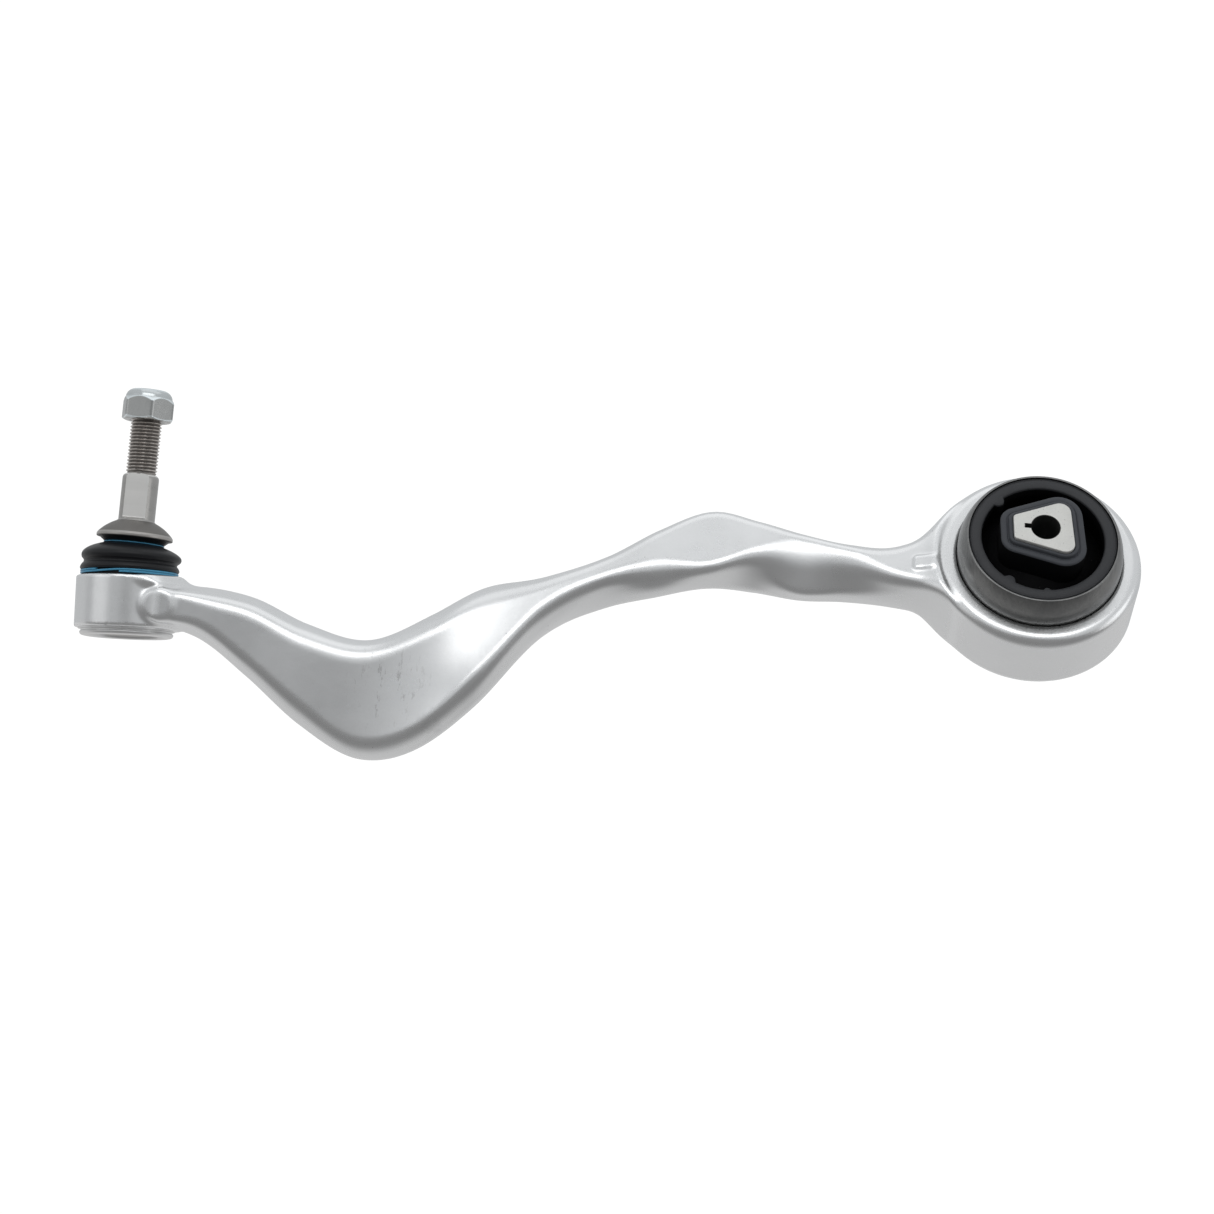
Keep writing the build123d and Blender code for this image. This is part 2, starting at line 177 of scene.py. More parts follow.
def spline(points, per_span):
    """An open Catmull-Rom curve through the points."""
    p = np.array(points, float)
    p = np.concatenate([[2 * p[0] - p[1]], p, [2 * p[-1] - p[-2]]])
    out = []
    for a, b, c, d in zip(p, p[1:], p[2:], p[3:]):
        square, cube = 2 * a - 5 * b + 4 * c - d, 3 * b - a - 3 * c + d
        for t in np.arange(per_span) / per_span:
            out.append(0.5 * (2 * b + (c - a) * t + square * t**2 + cube * t**3))
    out.append(p[-2])
    return [tuple(q) for q in out]


def around(count):
    return np.linspace(0, math.tau, count, endpoint=False)


def ringed(name, where, rings, angles, materials, closed=True, **keep):
    """A piece of rings (radius, height) about a local Z; each is one number or one for each angle."""
    r, h = (np.array([np.broadcast_to(ring[k], angles.shape) for ring in rings], float) for k in (0, 1))
    points = np.stack([r * np.cos(angles), r * np.sin(angles), h], -1)
    return new_object(name, where.out(points.reshape(-1, 3)), grid_faces(*r.shape, closed), materials, **keep)


# ---- materials
def add_node(tree, kind, **settings):
    """A node by its type's name after ShaderNode."""
    node = tree.nodes.new("ShaderNode" + kind)
    for key, value in settings.items():
        setattr(node, key, value)
    return node


def set_inputs(node, **values):
    """Constant inputs; an underscore in a key stands for a space."""
    for key, value in values.items():
        node.inputs[key.replace("_", " ")].default_value = value
    return node


def ramp_node(tree, value, stops):
    """Value to value or colour through a ramp; stops are (position, grey or colour)."""
    node = add_node(tree, "ValToRGB")
    tree.links.new(value, node.inputs[0])
    elements = node.color_ramp.elements
    while len(elements) < len(stops):
        elements.new(0.5)
    for element, (position, colour) in zip(elements, stops):
        element.position = position
        element.color = (colour, colour, colour, 1) if isinstance(colour, (int, float)) else (*colour, 1)
    return node.outputs[0]


def range_node(tree, value, source, result, **settings):
    """Value from one range of numbers to another."""
    node = add_node(tree, "MapRange", **settings)
    tree.links.new(value, node.inputs["Value"])
    set_inputs(node, From_Min=source[0], From_Max=source[1], To_Min=result[0], To_Max=result[1])
    return node.outputs[0]


class Nodes:
    """Short way to write a node material."""

    def __init__(self, name):
        self.material = bpy.data.materials.new(name)
        self.material.use_nodes = True
        self.tree = self.material.node_tree
        self.shader = self.tree.nodes["Principled BSDF"]
        self.coords = self.add("TexCoord").outputs["Object"]

    def add(self, kind, **settings):
        return add_node(self.tree, kind, **settings)

    def link(self, source, target):
        self.tree.links.new(source, target)

    def put(self, socket, value):
        if isinstance(value, bpy.types.NodeSocket):
            self.link(value, socket)
        else:
            socket.default_value = (*value, 1) if isinstance(value, tuple) else value

    def mapped(self, rotation=(0, 0, 0), scale=(1, 1, 1)):
        node = set_inputs(self.add("Mapping"), Rotation=rotation, Scale=scale)
        self.link(self.coords, node.inputs["Vector"])
        return node.outputs[0]

    def noise(self, scale, detail=3, rough=0.5, vector=None):
        node = set_inputs(self.add("TexNoise"), Scale=scale, Detail=detail, Roughness=rough)
        self.link(vector if vector is not None else self.coords, node.inputs["Vector"])
        return node.outputs["Fac"]

    def specks(self, scale, size, fade, cover, low, high):
        """Small round spots, only where a broader noise is high."""
        node = set_inputs(self.add("TexVoronoi"), Scale=scale)
        self.link(self.coords, node.inputs["Vector"])
        spots = self.ramp(node.outputs["Distance"], [(size, 1.0), (fade, 0.0)])
        return self.product(spots, self.ramp(self.noise(cover, 2), [(low, 0.0), (high, 1.0)]))

    def ramp(self, value, stops):
        return ramp_node(self.tree, value, stops)

    def math(self, operation, a, b=0.0, clamp=False):
        node = self.add("Math", operation=operation, use_clamp=clamp)
        self.put(node.inputs[0], a)
        self.put(node.inputs[1], b)
        return node.outputs[0]

    def product(self, a, b):
        return self.math("MULTIPLY", a, b)

    def shares(self, a, b, share):
        return self.math("ADD", self.product(a, share), self.product(b, 1 - share))

    def mix(self, fac, a, b):
        node = self.add("Mix", data_type="RGBA")
        for socket, value in ((0, fac), (6, a), (7, b)):
            self.put(node.inputs[socket], value)
        return node.outputs[2]

    def near(self, point, reach):
        """1 at a point in the row frame (mm), falling to 0 at the given reach (mm)."""
        node = self.add("VectorMath", operation="DISTANCE")
        self.link(self.coords, node.inputs[0])
        node.inputs[1].default_value = [c * MM for c in point]
        return self.ramp(self.math("DIVIDE", node.outputs["Value"], reach * MM), [(0, 1.0), (1, 0.0)])

    def attribute(self, name):
        return self.add("Attribute", attribute_name=name).outputs["Fac"]

    def bump(self, height, strength, distance, under=None):
        node = set_inputs(self.add("Bump"), Strength=strength, Distance=distance * MM)
        self.link(height, node.inputs["Height"])
        if under is not None:
            self.link(under, node.inputs["Normal"])
        return node.outputs[0]

    def finish(self, colour, roughness, normal=None, **constants):
        self.put(self.shader.inputs["Base Color"], colour)
        self.put(self.shader.inputs["Roughness"], roughness)
        if normal is not None:
            self.link(normal, self.shader.inputs["Normal"])
        set_inputs(self.shader, **constants)
        return self.material


def forged_aluminium():
    n = Nodes("forged_aluminium")
    cloud = n.noise(38, 4, 0.55)
    fine = n.noise(900, 3, 0.6)
    blast = n.noise(2600, 2, 0.5)
    specks = n.specks(420, 0.07, 0.12, 55, 0.60, 0.70)
    edge = n.attribute("edge")
    colour = n.mix(cloud, (0.76, 0.765, 0.77), (0.86, 0.865, 0.87))
    colour = n.mix(n.product(fine, 0.22), colour, (0.62, 0.63, 0.64))
    colour = n.mix(n.ramp(edge, [(0.5, 0.0), (1.0, 0.4)]), colour, (0.92, 0.93, 0.94))
    # handling marks: small dark nicks where the knee is widest; and painted shade: one dark spot on its lower ridge
    nicks = n.ramp(n.noise(310, 4, 0.75, n.mapped((0, 0.45, 0), (1.0, 1.0, 0.35))), [(0.58, 0.0), (0.65, 1.0)])
    nicks = n.product(nicks, n.near((-276, -13, -78), 24))
    patches = n.ramp(n.noise(240, 3, 0.7), [(0.40, 0.0), (0.62, 1.0)])
    ridge_shade = n.product(n.near((-256.7, -13, -92.4), 7), patches)
    dark = n.math("ADD", specks, n.math("ADD", nicks, ridge_shade), True)
    colour = n.mix(n.product(dark, 0.55), colour, (0.22, 0.22, 0.22))
    rough = n.ramp(n.shares(cloud, fine, 0.6), [(0.25, 0.25), (0.75, 0.35)])
    rough = n.math("SUBTRACT", rough, n.product(edge, 0.06))
    rough = n.math("ADD", rough, n.product(dark, 0.25))
    normal = n.bump(cloud, 0.30, 0.6)
    normal = n.bump(fine, 0.22, 0.05, normal)
    normal = n.bump(blast, 0.25, 0.025, normal)
    normal = n.bump(n.math("SUBTRACT", 1.0, dark), 0.35, 0.05, normal)
    return n.finish(colour, rough, normal, Metallic=1.0)


def machined_aluminium():
    n = Nodes("machined_aluminium")
    lines = n.noise(60, 3, 0.6, n.mapped((0, LEAN, 0), (6, 6, 260)))
    fine = n.noise(1500, 2)
    colour = n.mix(lines, (0.70, 0.70, 0.70), (0.84, 0.84, 0.84))
    rough = n.ramp(fine, [(0.3, 0.28), (0.7, 0.4)])
    return n.finish(colour, rough, n.bump(lines, 0.2, 0.05), Metallic=1.0)


def core_metal():
    n = Nodes("core_aluminium")
    grain = n.noise(1400, 4, 0.7)
    pits = n.specks(900, 0.10, 0.2, 300, 0.52, 0.62)
    stain = n.noise(160, 3, 0.6)
    colour = n.mix(grain, (0.52, 0.52, 0.50), (0.78, 0.78, 0.75))
    colour = n.mix(n.product(stain, 0.35), colour, (0.86, 0.85, 0.82))
    colour = n.mix(n.product(pits, 0.7), colour, (0.20, 0.20, 0.19))
    rough = n.ramp(grain, [(0.3, 0.48), (0.7, 0.66)])
    normal = n.bump(grain, 0.35, 0.05)
    return n.finish(colour, rough, normal, Metallic=0.55)


def turned_steel(name, light, dark, low, high, line_scale, metallic=1.0, depth=0.03, patch=0.0, root_shade=None):
    """Steel with turning lines across Z; patch adds dark stains, and the last colour paints shade where edge is 0, in
    a thread's roots.
    """
    n = Nodes(name)
    lines = n.noise(1, 3, 0.65, n.mapped(scale=(14, 14, line_scale)))
    cloud = n.noise(120, 4, 0.6)
    fine = n.noise(1800, 2)
    colour = n.mix(lines, dark, light)
    colour = n.mix(n.product(cloud, 0.45), colour, tuple(0.72 * c for c in light))
    if patch:
        colour = n.mix(n.ramp(n.noise(520, 3, 0.7), [(0.52, 0.0), (0.72, patch)]), colour, (0.05, 0.035, 0.025))
    # painted shade: the given colour where the edge attribute is low
    if root_shade:
        colour = n.mix(n.ramp(n.attribute("edge"), [(0.05, 0.0), (0.7, 1.0)]), root_shade, colour)
    rough = n.ramp(n.shares(lines, fine, 0.5), [(0.3, low), (0.7, high)])
    normal = n.bump(lines, 0.35, depth)
    normal = n.bump(fine, 0.2, 0.02, normal)
    return n.finish(colour, rough, normal, Metallic=metallic)


def zinc_plate():
    n = Nodes("zinc_plate")
    cloud = n.noise(210, 4, 0.6)
    fine = n.noise(1500, 3, 0.6)
    edge = n.attribute("edge")
    colour = n.mix(cloud, (0.34, 0.345, 0.34), (0.45, 0.455, 0.45))
    colour = n.mix(n.ramp(n.noise(700, 3, 0.7), [(0.55, 0.0), (0.78, 0.35)]), colour, (0.28, 0.29, 0.29))
    # painted highlight: bluish white where the edge attribute is high, on the nut's rims and crown
    colour = n.mix(n.ramp(edge, [(0.2, 0.0), (0.9, 0.8)]), colour, (0.88, 0.95, 0.98))
    rough = n.ramp(cloud, [(0.3, 0.18), (0.7, 0.30)])
    normal = n.bump(fine, 0.10, 0.02)
    return n.finish(colour, rough, normal, Metallic=1.0)


def sleeve_steel(name="sleeve_steel", light=(0.31, 0.31, 0.305), dark=(0.12, 0.122, 0.124)):
    """Drawn steel: streaks along the bush's axis over softer bands around it."""
    n = Nodes(name)
    turned = (RISE - math.pi / 2, 0, 0)
    along = n.noise(1, 4, 0.7, n.mapped(turned, (900, 900, 9)))
    bands = n.noise(1, 3, 0.6, n.mapped(turned, (12, 12, 240)))
    cloud = n.noise(70, 4, 0.6)
    colour = n.mix(along, dark, light)
    colour = n.mix(n.product(bands, 0.5), colour, tuple(0.6 * c for c in light))
    colour = n.mix(n.ramp(cloud, [(0.45, 0.0), (0.8, 0.6)]), colour, dark)
    rough = n.ramp(n.shares(along, cloud, 0.5), [(0.3, 0.24), (0.7, 0.36)])
    normal = n.bump(along, 0.35, 0.03)
    normal = n.bump(bands, 0.25, 0.03, normal)
    return n.finish(colour, rough, normal, Metallic=1.0)


def rubber(name, colour, lighter, low, high, dust, gloss=0.4):
    n = Nodes(name)
    cloud = n.noise(95, 4, 0.6)
    fine = n.noise(1100, 4, 0.65)
    specks = n.specks(700, 0.05, 0.09, 120, 0.58, 0.66)
    base = n.mix(n.product(cloud, dust), colour, lighter)
    base = n.mix(n.product(fine, 0.35), base, lighter)
    base = n.mix(n.product(specks, 0.5), base, (0.3, 0.29, 0.27))
    rough = n.ramp(cloud, [(0.3, low), (0.7, high)])
    normal = n.bump(fine, 0.25, 0.04)
    normal = n.bump(cloud, 0.2, 0.15, normal)
    return n.finish(base, rough, normal, Specular_IOR_Level=gloss)


def blue_coat():
    n = Nodes("blue_coat")
    cloud = n.noise(260, 3, 0.6)
    wear = n.ramp(n.noise(900, 4, 0.75), [(0.66, 0.0), (0.74, 0.8)])
    edge = n.attribute("edge")
    colour = n.mix(cloud, (0.04, 0.23, 0.40), (0.10, 0.37, 0.56))
    colour = n.mix(n.product(wear, n.math("ADD", edge, 0.25, True)), colour, (0.42, 0.50, 0.55))
    rough = n.ramp(cloud, [(0.3, 0.28), (0.7, 0.45)])
    return n.finish(colour, rough, n.bump(cloud, 0.2, 0.03), Metallic=0.35)


def moulded_plastic(name, colour, lighter):
    n = Nodes(name)
    cloud = n.noise(140, 3)
    fine = n.noise(1600, 3, 0.6)
    base = n.mix(cloud, colour, lighter)
    rough = n.ramp(fine, [(0.3, 0.42), (0.7, 0.6)])
    return n.finish(base, rough, n.bump(fine, 0.2, 0.03))


FORGED = forged_aluminium()
MACHINED = machined_aluminium()
CORE = core_metal()
# painted shade: near-black steel for the core's bolt hole and notch
BORE_SHADE = turned_steel("bore_painted_shade", (0.045, 0.045, 0.043), (0.018, 0.018, 0.017), 0.5, 0.7, 300, 0.4)
SHANK = turned_steel("ground_steel", (0.50, 0.49, 0.475), (0.33, 0.325, 0.315), 0.24, 0.38, 420)
MILLED = turned_steel("milled_steel", (0.88, 0.87, 0.85), (0.70, 0.695, 0.68), 0.40, 0.52, 260)
# painted shade in the thread's roots, through the edge attribute
THREAD = turned_steel("thread_steel", (0.76, 0.72, 0.69), (0.52, 0.49, 0.46), 0.28, 0.42, 300, 1.0, 0.015, 0.2,
                      root_shade=(0.17, 0.158, 0.15))
FLANGE = turned_steel("flange_steel", (0.235, 0.226, 0.215), (0.165, 0.16, 0.152), 0.40, 0.56, 160, 0.8, 0.02)
# painted highlight: a lighter copy of the flange steel for its rim band
FLANGE_RIM_HIGHLIGHT = turned_steel("flange_rim_highlight", (0.50, 0.48, 0.46), (0.36, 0.35, 0.335), 0.30, 0.44, 160, 0.9, 0.02)
ZINC = zinc_plate()
SLEEVE = sleeve_steel()
INNER_STEEL = sleeve_steel("inner_steel", (0.30, 0.285, 0.265), (0.16, 0.15, 0.14))
BLUE = blue_coat()
BOOT = rubber("boot_rubber", (0.006, 0.0065, 0.008), (0.014, 0.015, 0.018), 0.34, 0.46, 0.35, gloss=0.28)
RUBBER = rubber("ring_rubber", (0.021, 0.022, 0.025), (0.050, 0.052, 0.057), 0.50, 0.64, 0.4)
SKIN = rubber("skin_rubber", (0.026, 0.029, 0.035), (0.080, 0.086, 0.100), 0.50, 0.66, 0.5)
# painted shade: near-black rubber for faces deep in the bush and for the webs
SHADE_RUBBER = rubber("painted_shade_rubber", (0.003, 0.003, 0.0035), (0.007, 0.007, 0.008), 0.6, 0.75, 0.3, gloss=0.12)
SEAT = moulded_plastic("seat_plastic", (0.62, 0.60, 0.53), (0.74, 0.72, 0.66))
CHANNEL = moulded_plastic("channel_plastic", (0.02, 0.02, 0.022), (0.04, 0.04, 0.045))
LOCK = moulded_plastic("lock_plastic", (0.55, 0.56, 0.55), (0.72, 0.73, 0.71))

# ---- arm as a distance field
# x, tilt, front face, back face, front corners, parting-line corners, back corners
SECTIONS = np.array([
    (-379, 0, 21.4, -21.4, -45.4, -58.9, -42, -60.5, -45.4, -58.9),
    (-362, 0, 18.4, -18.4, -46, -60.3, -40.8, -65.5, -46, -60.3),
    (-340, 0, 15, -15, -48.6, -74, -43.5, -80, -48.6, -74),
    (-315, 0, 13.5, -13.5, -57.8, -92.5, -53, -98.8, -57.8, -92.5),
    (-286, 0, 13, -13, -61.2, -107.5, -57.3, -111.6, -61.2, -107),
    (-260, 7, 6, -19.4, -49, -99, -43, -104, -48.5, -97),
    (-238, 18, -3.4, -27.2, -33.5, -76.5, -26, -84, -30.5, -75.5),
    (-212, 24, -4, -29, -23.4, -42.5, -18.7, -47.5, -23, -41.5),
    (-186, 29.3, -3, -25, -10.8, -25.5, -8, -28.5, -10, -27.7),
    (-165, 29.3, 1.5, -18, 2.4, -20.3, 4, -26.5, 1, -24.3),
    (-142, 29.3, 4.5, -14, 13.4, -20.3, 12.5, -21.5, 10.5, -19.8),
    (-122, 29.3, 4, -17, 10.4, -10.5, 9.8, -16.2, 7, -18.6),
    (-102, 29.3, 3, -20, 6.2, -5, 6, -20.8, 3, -17.5),
    (-82, 29.3, 3, -22, 2.6, -7, 4, -18.4, 1, -15),
    (-62, 29.3, 3.5, -23, 3, -15.3, 5, -18.6, 1.5, -14.8),
    (-48, 29.3, 4.2, -23.5, 10.2, -18.6, 11.4, -19.4, 8, -16.8),
    (-38, 29.3, 3.6, -24, 19, -20.6, 20.2, -21.6, 18, -20.6),
    (-28, 29.3, 3.5, -24, 25, -24, 26, -25, 24, -24),
], float)
EYE_RADIUS, EYE_BORE, EYE_FRONT, EYE_BACK = 44.7, 35.7, 6.7, -26.0
EYE_FRONT_ROUND, EYE_BACK_ROUND, EYE_BORE_ROUND = 5.0, 3.2, 1.3
HOUSING_RADIUS, HOUSING_TOP, HOUSING_BOTTOM, HOUSING_ROUND = 23.0, 10.4, -12.3, 0.9
# the ball's hole right through, and the wider one for the seat up to its own height
BALL_HOLE, SEAT_HOLE, SEAT_HOLE_TOP = 13.7, 16.25, 4.0
# round pad beside the housing; its reach along Y tapers over a length of X
PAD_X, PAD_Z, PAD_RADIUS, PAD_ROUND, PAD_REACH, PAD_TAPER, PAD_TAPER_LENGTH = -378.5, -52.0, 7.1, 2.0, 21.4, 0.155, 20
# plain raised mark on the bar's face next to the eye, in the bush's frame
MARK_X, MARK_Y, MARK_HALF_X, MARK_HALF_Y, MARK_ROUND, MARK_HEIGHT = -49.3, -7.0, 4.6, 3.4, 1.6, 1.0
# how wide the bar's edges are rounded along X; crisper where it ends in the pad
EDGE_X, EDGE_WIDTH = (-374, -352, -320, -270, -215, -190), (3.0, 6.0, 7.5, 8.0, 7.5, 6.5)


def section_slopes():
    x, y = SECTIONS[:, 0], SECTIONS[:, 1:]
    step = np.diff(x)[:, None]
    rate = np.diff(y, axis=0) / step
    slope = np.empty_like(y)
    slope[1:-1] = (rate[:-1] * step[1:] + rate[1:] * step[:-1]) / (step[1:] + step[:-1])
    slope[0], slope[-1] = rate[0], rate[-1]
    return slope


SLOPES = section_slopes()


def section_at(x):
    """Section columns at each x, by cubic Hermite curves."""
    knots = SECTIONS[:, 0]
    x = np.clip(x, knots[0], knots[-1])
    i = np.clip(np.searchsorted(knots, x, side="right") - 1, 0, len(knots) - 2)
    h = knots[i + 1] - knots[i]
    t = ((x - knots[i]) / h)[..., None]
    h = h[..., None]
    a, b = SECTIONS[i, 1:], SECTIONS[i + 1, 1:]
    return (
        a * (2 * t**3 - 3 * t**2 + 1) + SLOPES[i] * h * (t**3 - 2 * t**2 + t)
        + b * (3 * t**2 - 2 * t**3) + SLOPES[i + 1] * h * (t**3 - t**2)
    )


def soft_max(a, b, k):
    """The larger of two distances, rounded where they differ by less than k."""
    h = np.maximum(k - np.abs(a - b), 0) / k
    return np.maximum(a, b) + h * h * k / 4


def soft_min(a, b, k):
    return -soft_max(-a, -b, k)


def ramp01(t):
    """Smooth step from 0 to 1."""
    t = np.clip(t, 0, 1)
    return t * t * (3 - 2 * t)


def corner_distance(a, b, radius):
    """Distance to the inside of two faces whose edge is rounded."""
    qa, qb = a + radius, b + radius
    return np.hypot(np.maximum(qa, 0), np.maximum(qb, 0)) + np.minimum(np.maximum(qa, qb), 0) - radius


def side(w, v, a, b):
    """Signed distance to the line from a to b, positive to the left of its direction."""
    dw, dv = b[0] - a[0], b[1] - a[1]
    length = np.hypot(dw, dv)
    return (dw * (v - a[1]) - dv * (w - a[0])) / length


def arm_distance(p):
    """Signed distance from the arm's surface, negative inside, in millimetres."""
    x, y, z = p[..., 0], p[..., 1], p[..., 2]
    tilt, front, back, f0, f1, p0, p1, b0, b1 = np.moveaxis(section_at(x), -1, 0)
    turn = np.radians(tilt)
    w = -y * np.cos(turn) + z * np.sin(turn)
    v = y * np.sin(turn) + z * np.cos(turn)
    middle = (front + back) / 2
    soft = np.interp(x, EDGE_X, EDGE_WIDTH)
    front_side = soft_max(side(w, v, (middle, p0), (front, f0)), w - front, soft)
    front_side = soft_max(front_side, side(w, v, (front, f1), (middle, p1)), 0.85 * soft)
    back_side = soft_max(side(w, v, (back, b0), (middle, p0)), back - w, soft)
    back_side = soft_max(back_side, side(w, v, (middle, p1), (back, b1)), 0.85 * soft)
    bar = soft_max(front_side, back_side, 3.0)
    bar = soft_max(bar, SECTIONS[0, 0] - x, 4.0)
    bar = np.maximum(bar, x - SECTIONS[-1, 0])
    # bush eye
    local = bush.into(p)
    radius = np.hypot(local[..., 0], local[..., 1])
    height = local[..., 2]
    eye = corner_distance(radius - EYE_RADIUS, height - EYE_FRONT, EYE_FRONT_ROUND)
    eye = np.maximum(eye, corner_distance(radius - EYE_RADIUS, EYE_BACK - height, EYE_BACK_ROUND))
    # raised mark
    mark_x = np.abs(local[..., 0] - MARK_X) - MARK_HALF_X
    mark_y = np.abs(local[..., 1] - MARK_Y) - MARK_HALF_Y
    mark = corner_distance(mark_x, mark_y, MARK_ROUND)
    bar = bar - MARK_HEIGHT / (1 + np.exp(np.clip(mark * 3.0, -30, 30))) * (height > -4)
    # the fillet between bar and eye is wide outside the eye's rim and narrow inside it
    solid = soft_min(bar, eye, 1.0 + 11.0 * ramp01((radius - 40.0) / 5.5))
    # ball housing
    low = housing_frame.into(p)
    outward = np.hypot(low[..., 0], low[..., 1])
    housing = corner_distance(outward - HOUSING_RADIUS, low[..., 2] - HOUSING_TOP, HOUSING_ROUND)
    foot = corner_distance(outward - HOUSING_RADIUS, HOUSING_BOTTOM - low[..., 2], HOUSING_ROUND)
    housing = np.maximum(housing, foot)
    reach = PAD_REACH - PAD_TAPER * np.clip(x - PAD_X, 0, PAD_TAPER_LENGTH)
    pad = corner_distance(np.hypot(x - PAD_X, z - PAD_Z) - PAD_RADIUS, np.abs(y) - reach, PAD_ROUND)
    # the housing's fillet is wide above the pad only
    fillet = 3.0 + 7.0 * ramp01((z - PAD_Z - 5.5) / 5.0)
    solid = soft_min(soft_min(solid, pad, 3.0), housing, fillet)
    # bores
    solid = soft_max(solid, EYE_BORE - radius, EYE_BORE_ROUND)
    inside = np.minimum(outward - BALL_HOLE, np.maximum(outward - SEAT_HOLE, low[..., 2] - SEAT_HOLE_TOP))
    return np.maximum(solid, -inside)


def surface_net(low, high, step):
    """Quad mesh of arm_distance's zero surface, evaluated slice by slice."""
    axes = [np.arange(a, b + step, step) for a, b in zip(low, high)]
    field = np.empty([len(a) for a in axes], np.float32)
    yy, zz = np.meshgrid(axes[1], axes[2], indexing="ij")
    for i, x in enumerate(axes[0]):
        field[i] = arm_distance(np.stack([np.full_like(yy, x), yy, zz], -1))
    inside = field < 0
    corners = [(i, j, k) for i in (0, 1) for j in (0, 1) for k in (0, 1)]
    count = np.zeros([n - 1 for n in field.shape], np.int8)
    for i, j, k in corners:
        count += inside[i:field.shape[0] - 1 + i, j:field.shape[1] - 1 + j, k:field.shape[2] - 1 + k]
    cells = np.argwhere((count > 0) & (count < 8))
    index = np.full(count.shape, -1, np.int32)
    index[tuple(cells.T)] = np.arange(len(cells))
    values = {c: field[tuple((cells + c).T)] for c in corners}
    total = np.zeros((len(cells), 3))
    hits = np.zeros(len(cells))
    for a in corners:
        for axis in range(3):
            if a[axis]:
                continue
            b = tuple(1 if m == axis else a[m] for m in range(3))
            crossing = (values[a] < 0) != (values[b] < 0)
            t = np.where(crossing, values[a] / np.where(crossing, values[a] - values[b], 1), 0)
            point = np.array(a, float) + t[:, None] * np.eye(3)[axis]
            total += point * crossing[:, None]
            hits += crossing
    points = np.array([a[0] for a in axes]) + (cells + total / hits[:, None]) * step
    faces = []
    for axis in range(3):
        u, w = [m for m in range(3) if m != axis]
        first = np.take(inside, range(0, inside.shape[axis] - 1), axis)
        second = np.take(inside, range(1, inside.shape[axis]), axis)
        edges = np.argwhere(first != second)
        edges = edges[(edges[:, u] > 0) & (edges[:, w] > 0)]
        edges = edges[(edges[:, u] < field.shape[u] - 1) & (edges[:, w] < field.shape[w] - 1)]
        ring = []
        for du, dw in ((0, 0), (-1, 0), (-1, -1), (0, -1)):
            cell = edges.copy()
            cell[:, u] += du
            cell[:, w] += dw
            ring.append(index[tuple(cell.T)])
        quad = np.stack(ring, -1)
        flip = first[tuple(edges.T)] ^ (axis == 1)
        quad[~flip] = quad[~flip][:, ::-1]
        faces.append(quad)
    return points, np.concatenate(faces)


def gradient(p, reach=0.25):
    g = np.empty_like(p)
    for axis in range(3):
        step = np.eye(3)[axis] * reach
        g[:, axis] = (arm_distance(p + step) - arm_distance(p - step)) / (2 * reach)
    return g


def settle(p, times):
    """Bring points onto the zero surface."""
    for _ in range(times):
        g = gradient(p)
        move = arm_distance(p)[:, None] * g / np.maximum((g**2).sum(1), 0.2)[:, None]
        p = p - np.clip(move, -0.6, 0.6)
    return p


def build_arm():
    step = 0.85
    points, faces = surface_net((-422, -44, -118), (48, 48, 56), step)
    points = settle(points, 2)
    # even out the net, then settle it again
    pairs = np.concatenate([faces[:, [0, 1]], faces[:, [1, 2]], faces[:, [2, 3]], faces[:, [3, 0]]])
    for _ in range(2):
        total = np.zeros_like(points)
        number = np.zeros(len(points))
        for a, b in ((0, 1), (1, 0)):
            np.add.at(total, pairs[:, a], points[pairs[:, b]])
            np.add.at(number, pairs[:, a], 1)
        points = settle(points * 0.5 + 0.5 * total / number[:, None], 1)
    # convex edges, for wear: how much the field curves across a few millimetres
    reach = 1.2
    g = gradient(points, reach)
    bend = -arm_distance(points) * 6
    for out in np.eye(3) * reach:
        bend += arm_distance(points + out) + arm_distance(points - out)
    bend /= np.sqrt((g**2).sum(1)) + 1e-6
    obj = new_object("arm_forging_skin", points, faces, FORGED, body="arm", node="arm_forging",
        slot="forged_aluminium", crease=50, weld=False)
    set_edge(obj, bend * 2.2)


build_arm()

# rolled lip that holds the closing plate
ringed("housing_lip", housing_frame, rounded([
    (16.3, -11.0, 0), (21.3, -11.0, 0), (21.3, -12.9, 0.3), (20.2, -13.1, 0.5), (19.9, -13.7, 0.5),
    (20.6, -14.2, 0.4), (20.2, -15.5, 1.2), (18.4, -15.9, 0.8), (17.1, -15.6, 0.7), (16.9, -14.05, 0.2),
    (16.3, -14.05, 0),
]), around(160), MACHINED, body="arm", node="arm_forging", slot="forged_aluminium")

# ---- ball stud
# heights here and below are above the ball's centre
SHANK_RADIUS, NECK_TOP = 8.0, 56.5
# milled flat: its distance from the axis, its foot, and where the cutter's round run-out ends
FLAT, FLAT_FOOT, FLAT_FULL = 6.2, 36.0, 37.2


def stud_grid(profile):
    """Rings of the stud with the milled flat: a quarter of each ring's points lie on the flat."""
    count = 176
    rows = []
    for r, h in profile:
        depth = FLAT
        if h < FLAT_FOOT or h > NECK_TOP:
            depth = r
        elif h < FLAT_FULL:
            run_out = math.acos(max(0.0, min(1.0, (FLAT_FULL - h) / 1.2)))
            depth = FLAT + (SHANK_RADIUS - FLAT) * (1 - math.sin(run_out))
        depth = min(depth, r)
        edge = math.acos(depth / r) if r > 1e-6 else 0.0
        edge = max(edge, 0.002)
        face = count // 4
        chord = np.linspace(-math.tan(edge), math.tan(edge), face)
        flat_x, flat_y = depth * chord, np.full(face, -depth)
        if depth >= r - 1e-9:
            a = np.linspace(-edge, edge, face)
            flat_x, flat_y = r * np.sin(a), -r * np.cos(a)
        a = np.linspace(edge, math.tau - edge, count - face + 2)[1:-1]
        xs = np.concatenate([flat_x, r * np.sin(a)])
        ys = np.concatenate([flat_y, -r * np.cos(a)])
        rows.append(np.stack([xs, ys, np.full(count, h)], -1))
    return np.array(rows)


